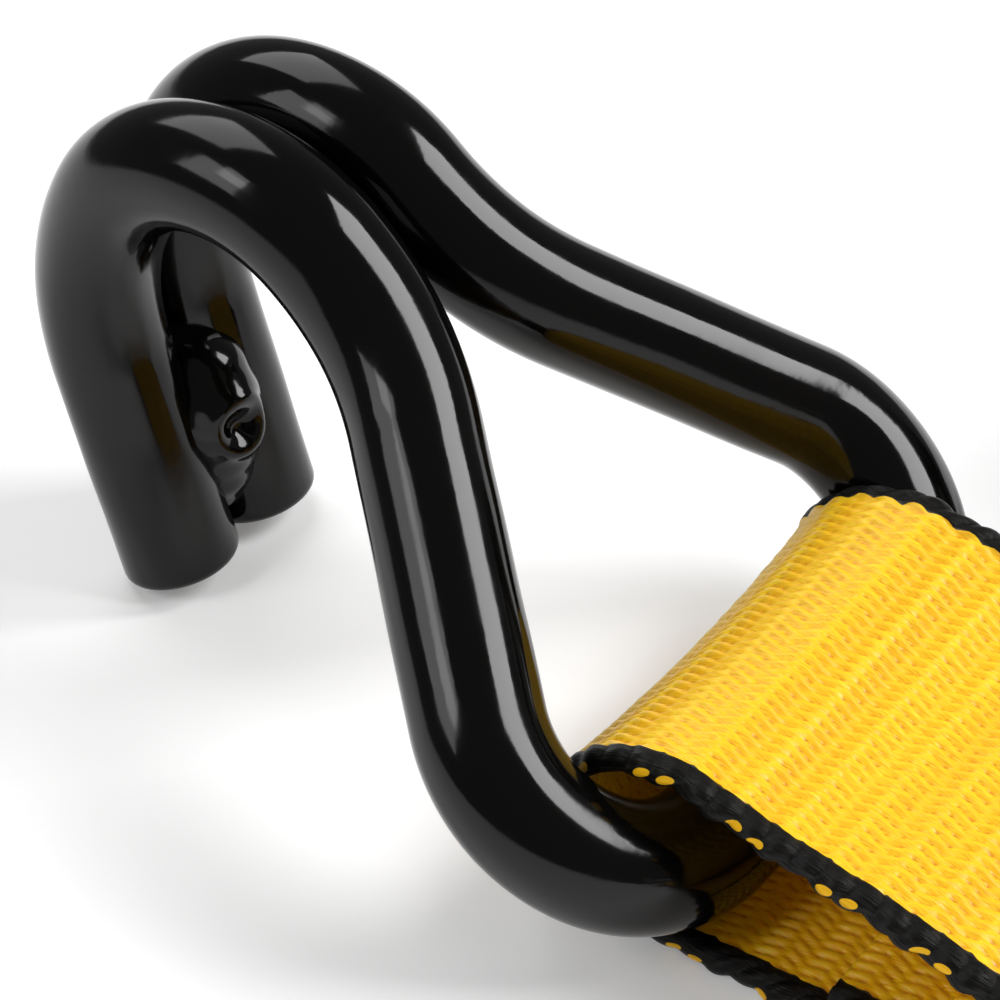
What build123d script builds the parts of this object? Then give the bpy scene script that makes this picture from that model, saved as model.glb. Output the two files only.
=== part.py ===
from build123d import *
from math import sin, cos, tan, atan, radians, sqrt, pi
import os

# Ratchet tie down: two double-J wire hooks, a short sewn strap with a ratchet
# buckle, and a long strap kept in a roll beside it. +Z is up, the straps run
# along X, and everything lies on the plane z = 0. All sizes in millimetres.

# ---------------------------------------------------------------- placing
OX, OY = -169.525, -44.550        # puts the whole set's footprint centre on the origin
LONG_Y = 95.0                 # the long strap lies this far beside the ratchet
LONG_X = 112.0                # its hook bar, from the first hook's bar

# ---------------------------------------------------------------- hook wire
D = 13.4                      # coated wire diameter
BAR_Z = 9.4                   # height of the strap bar
TILT = 41.03                  # shank angle above the ground when the hook lies on its tips
HALF_GAP = 6.8                # half the spacing of the two hook arms
BEND_X = 4.2968 * D           # where the slanted leg meets the straight arm
VERTEX_Y = 3.372 * D          # half width at the sharp corner before rounding
CORNER_R = 1.1845 * D         # bar corner bend radius
ARM_T = 0.776 * D             # tangent length of the leg-to-arm bend
ARCH_X = 5.113 * D            # where the arch starts
ARCH_R1, ARCH_A1 = 1.3846 * D, 97.27
ARCH_R2, ARCH_A2 = 2.1953 * D, 47.42
TIP_L = 1.98 * D

# ---------------------------------------------------------------- webbing
WEB = 48.0                    # webbing width
T = 2.5                       # webbing thickness
LAY = 2.7                     # layer spacing where it is sewn
EYE_R = 14.3                  # hook eye radius, webbing centre
EYE_SLOPE = 15.0              # fall of the top layer from the eye to the seam
TAIL_X = 18.0                 # cut end tucked inside the eye
FOLD_X = 132.0                # end fold of the hook seam

# ---------------------------------------------------------------- ratchet
BOLT_X, BOLT_Z = 228.0, 9.8   # strap bolt
BOLT_R = 5.0
SLEEVE_R = 7.0
BEYE_R = 8.55                 # bolt eye radius, webbing centre
SPX, SPZ = 300.0, 33.0        # spool axle
SPOOL_R = 10.0
SLOT_H = 2.25                 # half the strap slot
SPOOL_L = 44.0
FR_IN, FR_OUT = 26.5, 29.5    # frame side plates
GE_IN, GE_OUT = 29.8, 34.8    # ratchet gears
HA_IN, HA_OUT = 35.1, 37.6    # handle side plates
WA_IN, WA_OUT = 37.9, 39.4    # washers
COT_Y = 41.5                  # cotter pins
NOSE_R = 16.4
GEAR_OD, GEAR_ROOT, TEETH = 23.0, 17.0, 12
PAWL_T = 4.0
PAWL_R0, PAWL_R1 = 23.4, 37.0
LOCK_A = 210.0                # direction of the lock pawl from the axle
BRK_R0, BRK_R1 = 48.5, 51.5
STEM_R = 2.5
GRIP_X, GRIP_Z, GRIP_R = 118.0, -20.5, 12.0
SPR_R, SPR_W = 5.2, 0.7

# ---------------------------------------------------------------- long strap roll
ROLL_X, ROLL_R, CORE_R = 190.0, 68.0, 12.0   # from the second hook's bar


def side(y, x=0.0, z=0.0, a=0.0):
    """Upright plane facing -Y at height z; local x leans up by a degrees."""
    return Plane(origin=(OX + x, OY + y, z), x_dir=(cos(radians(a)), 0, sin(radians(a))), z_dir=(0, -1, 0))


def hook_point(px, y, pz, bx, by):
    c, s = cos(radians(TILT)), sin(radians(TILT))
    return (OX + bx + px * c + pz * s, OY + by + y, BAR_Z - px * s + pz * c)


def hook_path(bx, by):
    """Centre line of the double-J hook from one tip round the strap bar to the other."""
    slope = (VERTEX_Y - HALF_GAP) / BEND_X
    norm = sqrt(1 + slope * slope)
    lx, ly = -1 / norm, -slope / norm
    turn = pi / 2 + atan(slope)
    tl = CORNER_R * tan(turn / 2)
    bar_half = VERTEX_Y - tl
    turn2 = atan(slope)
    r2 = ARM_T / tan(turn2 / 2)
    ax = -(BEND_X + ARM_T)
    ex = -ARCH_X
    a1, a2 = radians(ARCH_A1), radians(ARCH_A1 + ARCH_A2)
    c2x = ex - ARCH_R1 * sin(a1) + ARCH_R2 * sin(a1)
    c2z = -ARCH_R1 + ARCH_R1 * cos(a1) - ARCH_R2 * cos(a1)
    am = radians(ARCH_A1 + ARCH_A2 / 2)

    def leg(sg):
        q = lambda x, y, z: hook_point(x, sg * y, z, bx, by)
        bar_end = q(0, bar_half, 0)
        corner_mid = q(-CORNER_R + CORNER_R * cos(turn / 2), bar_half + CORNER_R * sin(turn / 2), 0)
        corner_end = q(-CORNER_R + CORNER_R * cos(turn), bar_half + CORNER_R * sin(turn), 0)
        arm_start = q(ax + r2 * sin(turn2), HALF_GAP + r2 - r2 * cos(turn2), 0)
        arm_mid = q(ax + r2 * sin(turn2 / 2), HALF_GAP + r2 - r2 * cos(turn2 / 2), 0)
        arm_end = q(ax, HALF_GAP, 0)
        arch_start = q(ex, HALF_GAP, 0)
        top_mid = q(ex - ARCH_R1 * sin(a1 / 2), HALF_GAP, -ARCH_R1 + ARCH_R1 * cos(a1 / 2))
        top_end = q(ex - ARCH_R1 * sin(a1), HALF_GAP, -ARCH_R1 + ARCH_R1 * cos(a1))
        low_mid = q(c2x - ARCH_R2 * sin(am), HALF_GAP, c2z + ARCH_R2 * cos(am))
        low_end = q(c2x - ARCH_R2 * sin(a2), HALF_GAP, c2z + ARCH_R2 * cos(a2))
        tip = q(c2x - ARCH_R2 * sin(a2) - TIP_L * cos(a2), HALF_GAP, c2z + ARCH_R2 * cos(a2) - TIP_L * sin(a2))
        return bar_end, corner_mid, corner_end, arm_start, arm_mid, arm_end, top_mid, top_end, low_mid, low_end, tip, arch_start

    f, n = leg(1), leg(-1)
    Line(n[10], n[9])
    ThreePointArc(n[9], n[8], n[7])
    ThreePointArc(n[7], n[6], n[11])
    Line(n[11], n[5])
    ThreePointArc(n[5], n[4], n[3])
    Line(n[3], n[2])
    ThreePointArc(n[2], n[1], n[0])
    Line(n[0], f[0])
    ThreePointArc(f[0], f[1], f[2])
    Line(f[2], f[3])
    ThreePointArc(f[3], f[4], f[5])
    Line(f[5], f[11])
    ThreePointArc(f[11], f[6], f[7])
    ThreePointArc(f[7], f[8], f[9])
    Line(f[9], f[10])


def tip_frame(bx, by, back, inward):
    """A point on the mid plane between the tips: back from the tip end, inward from the tip axis."""
    a1, a2 = radians(ARCH_A1), radians(ARCH_A1 + ARCH_A2)
    ex = -ARCH_X
    c2x = ex - ARCH_R1 * sin(a1) + ARCH_R2 * sin(a1)
    c2z = -ARCH_R1 + ARCH_R1 * cos(a1) - ARCH_R2 * cos(a1)
    tx = c2x - ARCH_R2 * sin(a2) - (TIP_L - back) * cos(a2)
    tz = c2z + ARCH_R2 * cos(a2) - (TIP_L - back) * sin(a2)
    return hook_point(tx + inward * sin(a2), 0, tz - inward * cos(a2), bx, by)


def ribbon(x, z, head, moves):
    """Outline of a constant-thickness ribbon, drawn as tangent lines and arcs.
    moves: (length,) for a straight, (radius, turn) for a bend, left positive."""
    left, right = [], []
    h = radians(head)

    def off(px, pz, hh, o):
        return (px - o * sin(hh), pz + o * cos(hh))

    first_l, first_r = off(x, z, h, T / 2), off(x, z, h, -T / 2)
    for m in moves:
        if len(m) == 1:
            nx, nz = x + m[0] * cos(h), z + m[0] * sin(h)
            left.append((off(x, z, h, T / 2), None, off(nx, nz, h, T / 2)))
            right.append((off(x, z, h, -T / 2), None, off(nx, nz, h, -T / 2)))
            x, z = nx, nz
        else:
            r, turn = m[0], radians(m[1])
            sg = 1 if turn > 0 else -1
            cx, cz = x - sg * r * sin(h), z + sg * r * cos(h)

            def at(a, o):
                hh = h + a
                rr = r - sg * o
                return (cx + sg * rr * sin(hh), cz - sg * rr * cos(hh))

            left.append((at(0, T / 2), at(turn / 2, T / 2), at(turn, T / 2)))
            right.append((at(0, -T / 2), at(turn / 2, -T / 2), at(turn, -T / 2)))
            x, z = cx + sg * r * sin(h + turn), cz - sg * r * cos(h + turn)
            h += turn
    for a, m, b in left:
        if m is None:
            Line(a, b)
        else:
            ThreePointArc(a, m, b)
    Line(left[-1][2], right[-1][2])
    for a, m, b in reversed(right):
        if m is None:
            Line(b, a)
        else:
            ThreePointArc(b, m, a)
    Line(first_r, first_l)


def hook_eye_moves():
    """Tucked tail, end fold, top layer and eye, ending on the ground heading +X at x = EYE_END."""
    zt = T / 2 + 2 * LAY
    a = radians(EYE_SLOPE)
    bend = 30.0
    top_x, top_z = EYE_R * sin(a), BAR_Z + EYE_R * cos(a)
    run = (top_z - zt - bend * (1 - cos(a))) / sin(a)
    flat_x = top_x + run * cos(a) + bend * sin(a)
    low_r = BAR_Z - T / 2
    return [(FOLD_X - TAIL_X,), (LAY / 2, 180), (FOLD_X - flat_x,), (bend, -EYE_SLOPE), (run,),
            (EYE_R, 90 + EYE_SLOPE), (low_r, 90)]


EYE_END = -(EYE_R - (BAR_Z - T / 2))


def d_face(r, h, sg):
    xh = sqrt(r * r - h * h)
    Line((-xh, sg * h), (xh, sg * h))
    ThreePointArc((xh, sg * h), (0, sg * r), (-xh, sg * h))


def gear_points():
    pts = []
    for k in range(TEETH):
        a = radians(360 / TEETH * k)
        for r, t in ((GEAR_ROOT, -2.5), (GEAR_ROOT, 2.5), (GEAR_OD, 2.5), (GEAR_OD, 4.3)):
            u = sqrt(r * r - t * t)
            pts.append((u * cos(a) - t * sin(a), u * sin(a) + t * cos(a)))
    return pts


# ================================================================ hook 1
with BuildPart() as hook_1:
    with BuildLine() as hook_1_line:
        hook_path(0, 0)
    with BuildSketch(Plane(origin=hook_1_line.wire() @ 0, z_dir=hook_1_line.wire() % 0)):
        Circle(D / 2)
    sweep(path=hook_1_line.wire())
hook_1.part.label = "hook_1"

# weld bead across the two tips, on the side facing the shank
with BuildPart() as hook_1_weld:
    with BuildLine() as weld_1_line:
        Line(tip_frame(0, 0, 8.0, 3.0), tip_frame(0, 0, 21.0, 3.0))
    with BuildSketch(Plane(origin=weld_1_line.wire() @ 0, z_dir=weld_1_line.wire() % 0)):
        Circle(4.2)
    sweep(path=weld_1_line.wire())
hook_1_weld.part.label = "hook_1_weld"

# ================================================================ short strap
flat_b = BOLT_X
bolt_low = BOLT_Z - BEYE_R
a20 = radians(20)
b_run = (BOLT_Z + BEYE_R * cos(a20) - (T / 2 + LAY) - 20 * (1 - cos(a20))) / sin(a20)
b_flat = BOLT_X - BEYE_R * sin(a20) - b_run * cos(a20) - 20 * sin(a20)
with BuildPart() as short_strap:
    with BuildSketch(side(WEB / 2)):
        with BuildLine():
            ribbon(TAIL_X, T / 2 + LAY, 0,
                   hook_eye_moves() + [(BOLT_X - EYE_END,), (BEYE_R, 200), (b_run,), (20, -20), (b_flat - 138.0,)])
        make_face()
    extrude(amount=WEB)
short_strap.part.label = "short_strap"

# ================================================================ frame sides
def frame_line():
    Polyline((-72, 0), (8, 0), (13, 6), (15.6, 28), (0, 33), (-12, 30.4), (-34, 30.0), (-70, 19.5), (-72, 19.6), close=True)

with BuildPart() as frame_side_left:
    with BuildSketch(side(FR_OUT, SPX, 0)):
        with BuildLine():
            frame_line()
        make_face()
        with Locations((0, SPZ)):
            Circle(NOSE_R)
        with Locations((BOLT_X - SPX, BOLT_Z)):
            Circle(BOLT_Z)
        with Locations((0, SPZ)):
            Circle(SPOOL_R + 0.08, mode=Mode.SUBTRACT)
        with Locations((BOLT_X - SPX, BOLT_Z)):
            Circle(BOLT_R + 0.06, mode=Mode.SUBTRACT)
        with Locations((-22, 4.0)):
            Rectangle(20.1, 3.1, mode=Mode.SUBTRACT)
    extrude(amount=FR_OUT - FR_IN)
    with BuildSketch(side(FR_OUT, SPX, SPZ, LOCK_A)):
        with Locations(((17.4 + 37.6) / 2, 0)):
            Rectangle(37.6 - 17.4, PAWL_T + 0.6, mode=Mode.ADD)
        with Locations(((BRK_R0 + BRK_R1) / 2, 0)):
            Rectangle(BRK_R1 - BRK_R0 + 0.1, 6.1, mode=Mode.ADD)
    extrude(amount=FR_OUT - FR_IN, mode=Mode.SUBTRACT)
frame_side_left.part.label = "frame_side_left"

with BuildPart() as frame_side_right:
    with BuildSketch(side(-FR_IN, SPX, 0)):
        with BuildLine():
            frame_line()
        make_face()
        with Locations((0, SPZ)):
            Circle(NOSE_R)
        with Locations((BOLT_X - SPX, BOLT_Z)):
            Circle(BOLT_Z)
        with Locations((0, SPZ)):
            Circle(SPOOL_R + 0.08, mode=Mode.SUBTRACT)
        with Locations((BOLT_X - SPX, BOLT_Z)):
            Circle(BOLT_R + 0.06, mode=Mode.SUBTRACT)
        with Locations((-22, 4.0)):
            Rectangle(20.1, 3.1, mode=Mode.SUBTRACT)
    extrude(amount=FR_OUT - FR_IN)
    with BuildSketch(side(-FR_IN, SPX, SPZ, LOCK_A)):
        with Locations(((17.4 + 37.6) / 2, 0)):
            Rectangle(37.6 - 17.4, PAWL_T + 0.6, mode=Mode.ADD)
        with Locations(((BRK_R0 + BRK_R1) / 2, 0)):
            Rectangle(BRK_R1 - BRK_R0 + 0.1, 6.1, mode=Mode.ADD)
    extrude(amount=FR_OUT - FR_IN, mode=Mode.SUBTRACT)
frame_side_right.part.label = "frame_side_right"

# base plate between the sides, with a tab in each
with BuildPart() as frame_base_plate:
    with BuildSketch(side(FR_IN - 0.05, SPX, 0)):
        with Locations((-13, 4.0)):
            Rectangle(44, 3.0)
    extrude(amount=2 * (FR_IN - 0.05))
    with BuildSketch(side(FR_OUT, SPX, 0)):
        with Locations((-22, 4.0)):
            Rectangle(20.0, 3.0)
    extrude(amount=2 * FR_OUT)
frame_base_plate.part.label = "frame_base_plate"

# cross plate that seats the lock pawl's spring
with BuildPart() as lock_pawl_bracket:
    with BuildSketch(side(FR_IN - 0.05, SPX, SPZ, LOCK_A)):
        with Locations(((BRK_R0 + BRK_R1) / 2, 0)):
            Rectangle(BRK_R1 - BRK_R0, 13.0)
    extrude(amount=2 * (FR_IN - 0.05))
    with BuildSketch(side(FR_OUT, SPX, SPZ, LOCK_A)):
        with Locations(((BRK_R0 + BRK_R1) / 2, 0)):
            Rectangle(BRK_R1 - BRK_R0, 6.0)
    extrude(amount=2 * FR_OUT)
    with BuildSketch(Plane(origin=(OX + SPX + BRK_R0 * cos(radians(LOCK_A)), OY, SPZ + BRK_R0 * sin(radians(LOCK_A))),
                           x_dir=(0, 1, 0), z_dir=(cos(radians(LOCK_A)), 0, sin(radians(LOCK_A))))):
        Circle(STEM_R + 0.08)
    extrude(amount=BRK_R1 - BRK_R0, mode=Mode.SUBTRACT)
lock_pawl_bracket.part.label = "lock_pawl_bracket"

# ================================================================ strap bolt
with BuildPart() as strap_bolt:
    with BuildSketch(side(FR_OUT + 10.0, BOLT_X, BOLT_Z)):
        Circle(BOLT_R)
    extrude(amount=2 * FR_OUT + 10.0)
    with BuildSketch(side(-FR_OUT, BOLT_X, BOLT_Z)):
        RegularPolygon(radius=8.5, side_count=6, major_radius=False)
    extrude(amount=5.5)
strap_bolt.part.label = "strap_bolt"

with BuildPart() as strap_bolt_nut:
    with BuildSketch(side(FR_OUT + 7.0, BOLT_X, BOLT_Z)):
        RegularPolygon(radius=8.5, side_count=6, major_radius=False)
        Circle(BOLT_R + 0.02, mode=Mode.SUBTRACT)
    extrude(amount=7.0)
strap_bolt_nut.part.label = "strap_bolt_nut"

with BuildPart() as strap_bolt_sleeve:
    with BuildSketch(side(FR_IN - 0.1, BOLT_X, BOLT_Z)):
        Circle(SLEEVE_R)
        Circle(BOLT_R + 0.1, mode=Mode.SUBTRACT)
    extrude(amount=2 * (FR_IN - 0.1))
strap_bolt_sleeve.part.label = "strap_bolt_sleeve"

# ================================================================ lock pawl
LC, LS = cos(radians(LOCK_A)), sin(radians(LOCK_A))
with BuildPart() as lock_pawl:
    with BuildSketch(side(GE_OUT - 0.1, SPX, SPZ, LOCK_A)):
        with Locations(((PAWL_R0 + PAWL_R1) / 2, 0)):
            Rectangle(PAWL_R1 - PAWL_R0, PAWL_T)
    extrude(amount=2 * (GE_OUT - 0.1))
    with BuildSketch(Plane(origin=(OX + SPX + (PAWL_R1 - 1) * LC, OY, SPZ + (PAWL_R1 - 1) * LS), x_dir=(0, 1, 0), z_dir=(LC, 0, LS))):
        Circle(STEM_R)
    extrude(amount=56.0 - PAWL_R1 + 1)
lock_pawl.part.label = "lock_pawl"

with BuildPart() as lock_pawl_spring:
    with BuildLine():
        coil_l = Helix(pitch=2.3, height=9.2, radius=SPR_R, center=(OX + SPX + (PAWL_R1 + 1.1) * LC, OY, SPZ + (PAWL_R1 + 1.1) * LS), direction=(LC, 0, LS))
    with BuildSketch(Plane(origin=coil_l @ 0, z_dir=coil_l % 0)):
        Circle(SPR_W)
    sweep(path=coil_l, is_frenet=True)
lock_pawl_spring.part.label = "lock_pawl_spring"

# ================================================================ spool
with BuildPart() as spool_half_upper:
    with BuildSketch(side(SPOOL_L, SPX, SPZ)):
        with BuildLine():
            d_face(SPOOL_R, SLOT_H, 1)
        make_face()
    extrude(amount=2 * SPOOL_L)
    with BuildSketch(Plane(origin=(OX + SPX, OY, SPZ - 15), z_dir=(0, 0, 1))):
        with Locations((0, COT_Y), (0, -COT_Y)):
            Circle(1.6)
    extrude(amount=30, mode=Mode.SUBTRACT)
spool_half_upper.part.label = "spool_half_upper"

with BuildPart() as spool_half_lower:
    with BuildSketch(side(SPOOL_L, SPX, SPZ)):
        with BuildLine():
            d_face(SPOOL_R, SLOT_H, -1)
        make_face()
    extrude(amount=2 * SPOOL_L)
    with BuildSketch(Plane(origin=(OX + SPX, OY, SPZ - 15), z_dir=(0, 0, 1))):
        with Locations((0, COT_Y), (0, -COT_Y)):
            Circle(1.6)
    extrude(amount=30, mode=Mode.SUBTRACT)
spool_half_lower.part.label = "spool_half_lower"

with BuildPart() as ratchet_gear_left:
    with BuildSketch(side(GE_OUT, SPX, SPZ)):
        with BuildLine():
            Polyline(*gear_points(), close=True)
        make_face()
        with BuildLine():
            d_face(SPOOL_R + 0.05, SLOT_H - 0.05, 1)
        make_face(mode=Mode.SUBTRACT)
        with BuildLine():
            d_face(SPOOL_R + 0.05, SLOT_H - 0.05, -1)
        make_face(mode=Mode.SUBTRACT)
    extrude(amount=GE_OUT - GE_IN)
ratchet_gear_left.part.label = "ratchet_gear_left"

with BuildPart() as ratchet_gear_right:
    with BuildSketch(side(-GE_IN, SPX, SPZ)):
        with BuildLine():
            Polyline(*gear_points(), close=True)
        make_face()
        with BuildLine():
            d_face(SPOOL_R + 0.05, SLOT_H - 0.05, 1)
        make_face(mode=Mode.SUBTRACT)
        with BuildLine():
            d_face(SPOOL_R + 0.05, SLOT_H - 0.05, -1)
        make_face(mode=Mode.SUBTRACT)
    extrude(amount=GE_OUT - GE_IN)
ratchet_gear_right.part.label = "ratchet_gear_right"

with BuildPart() as spool_washers:
    with BuildSketch(side(WA_OUT, SPX, SPZ)):
        Circle(14.5)
        Circle(SPOOL_R + 0.08, mode=Mode.SUBTRACT)
    extrude(amount=WA_OUT - WA_IN)
    with BuildSketch(side(-WA_IN, SPX, SPZ)):
        Circle(14.5)
        Circle(SPOOL_R + 0.08, mode=Mode.SUBTRACT)
    extrude(amount=WA_OUT - WA_IN)
spool_washers.part.label = "spool_washers"

with BuildPart() as cotter_pins:
    with BuildSketch(Plane(origin=(OX + SPX, OY, SPZ - 14), z_dir=(0, 0, 1))):
        with Locations((0, COT_Y), (0, -COT_Y)):
            Circle(1.5)
    extrude(amount=26.5)
    with BuildSketch(Plane(origin=(OX + SPX, OY + COT_Y + 1.4, SPZ + 14.2), x_dir=(1, 0, 0), z_dir=(0, -1, 0))):
        Circle(3.4)
        Circle(1.5, mode=Mode.SUBTRACT)
    extrude(amount=2.8)
    with BuildSketch(Plane(origin=(OX + SPX, OY - COT_Y + 1.4, SPZ + 14.2), x_dir=(1, 0, 0), z_dir=(0, -1, 0))):
        Circle(3.4)
        Circle(1.5, mode=Mode.SUBTRACT)
    extrude(amount=2.8)
cotter_pins.part.label = "cotter_pins"

# ================================================================ handle
def handle_cuts():
    Circle(SPOOL_R + 0.08, mode=Mode.SUBTRACT)
    with Locations((GRIP_X, GRIP_Z)):
        Circle(4.03, mode=Mode.SUBTRACT)
    with Locations((ROD_X, ROD_Z)):
        Circle(3.03, mode=Mode.SUBTRACT)
    with Locations(((17.4 + 37.6) / 2, 0)):
        Rectangle(37.6 - 17.4, PAWL_T + 0.6, mode=Mode.SUBTRACT)
    with Locations(((BRK_R0 + BRK_R1) / 2, -1.0)):
        Rectangle(BRK_R1 - BRK_R0 + 0.1, 6.1, mode=Mode.SUBTRACT)


ROD_X, ROD_Z = 84.0, -14.6
with BuildPart() as handle_side_left:
    with BuildSketch(side(HA_OUT, SPX, SPZ)):
        Circle(16.5)
        with Locations((GRIP_X, GRIP_Z)):
            Circle(9.0)
        make_hull()
        handle_cuts()
    extrude(amount=HA_OUT - HA_IN)
handle_side_left.part.label = "handle_side_left"

with BuildPart() as handle_side_right:
    with BuildSketch(side(-HA_IN, SPX, SPZ)):
        Circle(16.5)
        with Locations((GRIP_X, GRIP_Z)):
            Circle(9.0)
        make_hull()
        handle_cuts()
    extrude(amount=HA_OUT - HA_IN)
handle_side_right.part.label = "handle_side_right"

with BuildPart() as drive_pawl_bracket:
    with BuildSketch(side(HA_IN - 0.05, SPX, SPZ)):
        with Locations(((BRK_R0 + BRK_R1) / 2, 0)):
            Rectangle(BRK_R1 - BRK_R0, 12.0)
    extrude(amount=2 * (HA_IN - 0.05))
    with BuildSketch(side(HA_OUT, SPX, SPZ)):
        with Locations(((BRK_R0 + BRK_R1) / 2, -1.0)):
            Rectangle(BRK_R1 - BRK_R0, 6.0)
    extrude(amount=2 * HA_OUT)
    with BuildSketch(Plane(origin=(OX + SPX + BRK_R0, OY, SPZ), x_dir=(0, 1, 0), z_dir=(1, 0, 0))):
        Circle(STEM_R + 0.08)
    extrude(amount=BRK_R1 - BRK_R0, mode=Mode.SUBTRACT)
drive_pawl_bracket.part.label = "drive_pawl_bracket"

with BuildPart() as handle_rod:
    with BuildSketch(side(HA_OUT + 1.6, SPX + ROD_X, SPZ + ROD_Z)):
        Circle(3.0)
    extrude(amount=2 * (HA_OUT + 1.6))
    with BuildSketch(side(HA_OUT + 1.6, SPX + ROD_X, SPZ + ROD_Z)):
        Circle(5.0)
    extrude(amount=1.6)
    with BuildSketch(side(-HA_OUT, SPX + ROD_X, SPZ + ROD_Z)):
        Circle(5.0)
    extrude(amount=1.6)
handle_rod.part.label = "handle_rod"

with BuildPart() as grip_rod:
    with BuildSketch(side(HA_OUT + 2.0, SPX + GRIP_X, SPZ + GRIP_Z)):
        Circle(4.0)
    extrude(amount=2 * (HA_OUT + 2.0))
    with BuildSketch(side(HA_OUT + 2.0, SPX + GRIP_X, SPZ + GRIP_Z)):
        Circle(6.5)
    extrude(amount=2.0)
    with BuildSketch(side(-HA_OUT, SPX + GRIP_X, SPZ + GRIP_Z)):
        Circle(6.5)
    extrude(amount=2.0)
grip_rod.part.label = "grip_rod"

with BuildPart() as handle_grip:
    with BuildSketch(side(HA_IN - 0.1, SPX + GRIP_X, SPZ + GRIP_Z)):
        Circle(GRIP_R)
        Circle(4.05, mode=Mode.SUBTRACT)
    extrude(amount=2 * (HA_IN - 0.1))
handle_grip.part.label = "handle_grip"

# ================================================================ drive pawl
with BuildPart() as drive_pawl:
    with BuildSketch(side(HA_OUT + 1.0, SPX, SPZ)):
        with Locations(((PAWL_R0 + PAWL_R1) / 2, 0)):
            Rectangle(PAWL_R1 - PAWL_R0, PAWL_T)
    extrude(amount=2 * (HA_OUT + 1.0))
    with BuildSketch(Plane(origin=(OX + SPX + PAWL_R1 - 1, OY, SPZ), x_dir=(0, 1, 0), z_dir=(1, 0, 0))):
        Circle(STEM_R)
    extrude(amount=60.0 - PAWL_R1 + 1)
    with BuildSketch(side(16.0, SPX, SPZ)):
        with Locations((61.0, 0)):
            Rectangle(5.0, 9.0)
    extrude(amount=32.0)
drive_pawl.part.label = "drive_pawl"

with BuildPart() as drive_pawl_spring:
    with BuildLine():
        coil_d = Helix(pitch=2.3, height=9.2, radius=SPR_R, center=(OX + SPX + PAWL_R1 + 1.1, OY, SPZ), direction=(1, 0, 0))
    with BuildSketch(Plane(origin=coil_d @ 0, z_dir=coil_d % 0)):
        Circle(SPR_W)
    sweep(path=coil_d, is_frenet=True)
drive_pawl_spring.part.label = "drive_pawl_spring"

# ================================================================ long strap and hook 2
with BuildPart() as hook_2:
    with BuildLine() as hook_2_line:
        hook_path(LONG_X, LONG_Y)
    with BuildSketch(Plane(origin=hook_2_line.wire() @ 0, z_dir=hook_2_line.wire() % 0)):
        Circle(D / 2)
    sweep(path=hook_2_line.wire())
hook_2.part.label = "hook_2"

with BuildPart() as hook_2_weld:
    with BuildLine() as weld_2_line:
        Line(tip_frame(LONG_X, LONG_Y, 8.0, 3.0), tip_frame(LONG_X, LONG_Y, 21.0, 3.0))
    with BuildSketch(Plane(origin=weld_2_line.wire() @ 0, z_dir=weld_2_line.wire() % 0)):
        Circle(4.2)
    sweep(path=weld_2_line.wire())
hook_2_weld.part.label = "hook_2_weld"

with BuildPart() as long_strap:
    with BuildSketch(side(LONG_Y + WEB / 2, LONG_X, 0)):
        with BuildLine():
            ribbon(TAIL_X, T / 2 + LAY, 0, hook_eye_moves() + [(ROLL_X - EYE_END,)])
        make_face()
        with Locations((ROLL_X, ROLL_R)):
            Circle(ROLL_R)
            Circle(CORE_R, mode=Mode.SUBTRACT)
    extrude(amount=WEB)
long_strap.part.label = "long_strap"

# ================================================================ seams
def seam(x0, x1, yc):
    """Rows of lockstitch thread lying on the sewn layers."""
    n = 10
    step = (x1 - x0) / n
    for i in range(n):
        for j, y in enumerate((-19.0, -9.5, 0.0, 9.5, 19.0)):
            with Locations((OX + x0 + (i + 0.5) * step, OY + yc + y)):
                Rectangle(step * 0.72, 1.0)


with BuildPart() as short_strap_stitching:
    with BuildSketch(Plane.XY.offset(T + 2 * LAY + 0.02)):
        seam(74.0, 128.0, 0.0)
    extrude(amount=0.5)
    with BuildSketch(Plane.XY.offset(T + LAY + 0.02)):
        seam(142.0, 180.0, 0.0)
    extrude(amount=0.5)
short_strap_stitching.part.label = "short_strap_stitching"

with BuildPart() as long_strap_stitching:
    with BuildSketch(Plane.XY.offset(T + 2 * LAY + 0.02)):
        seam(LONG_X + 74.0, LONG_X + 122.0, LONG_Y)
    extrude(amount=0.5)
long_strap_stitching.part.label = "long_strap_stitching"

os.makedirs("parts", exist_ok=True)
export_step(hook_1.part, "parts/hook_1.step")
export_step(hook_1_weld.part, "parts/hook_1_weld.step")
export_step(short_strap.part, "parts/short_strap.step")
export_step(short_strap_stitching.part, "parts/short_strap_stitching.step")
export_step(frame_side_left.part, "parts/frame_side_left.step")
export_step(frame_side_right.part, "parts/frame_side_right.step")
export_step(frame_base_plate.part, "parts/frame_base_plate.step")
export_step(lock_pawl_bracket.part, "parts/lock_pawl_bracket.step")
export_step(strap_bolt.part, "parts/strap_bolt.step")
export_step(strap_bolt_nut.part, "parts/strap_bolt_nut.step")
export_step(strap_bolt_sleeve.part, "parts/strap_bolt_sleeve.step")
export_step(lock_pawl.part, "parts/lock_pawl.step")
export_step(lock_pawl_spring.part, "parts/lock_pawl_spring.step")
export_step(spool_half_upper.part, "parts/spool_half_upper.step")
export_step(spool_half_lower.part, "parts/spool_half_lower.step")
export_step(ratchet_gear_left.part, "parts/ratchet_gear_left.step")
export_step(ratchet_gear_right.part, "parts/ratchet_gear_right.step")
export_step(spool_washers.part, "parts/spool_washers.step")
export_step(cotter_pins.part, "parts/cotter_pins.step")
export_step(handle_side_left.part, "parts/handle_side_left.step")
export_step(handle_side_right.part, "parts/handle_side_right.step")
export_step(drive_pawl_bracket.part, "parts/drive_pawl_bracket.step")
export_step(handle_rod.part, "parts/handle_rod.step")
export_step(grip_rod.part, "parts/grip_rod.step")
export_step(handle_grip.part, "parts/handle_grip.step")
export_step(drive_pawl.part, "parts/drive_pawl.step")
export_step(drive_pawl_spring.part, "parts/drive_pawl_spring.step")
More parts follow.
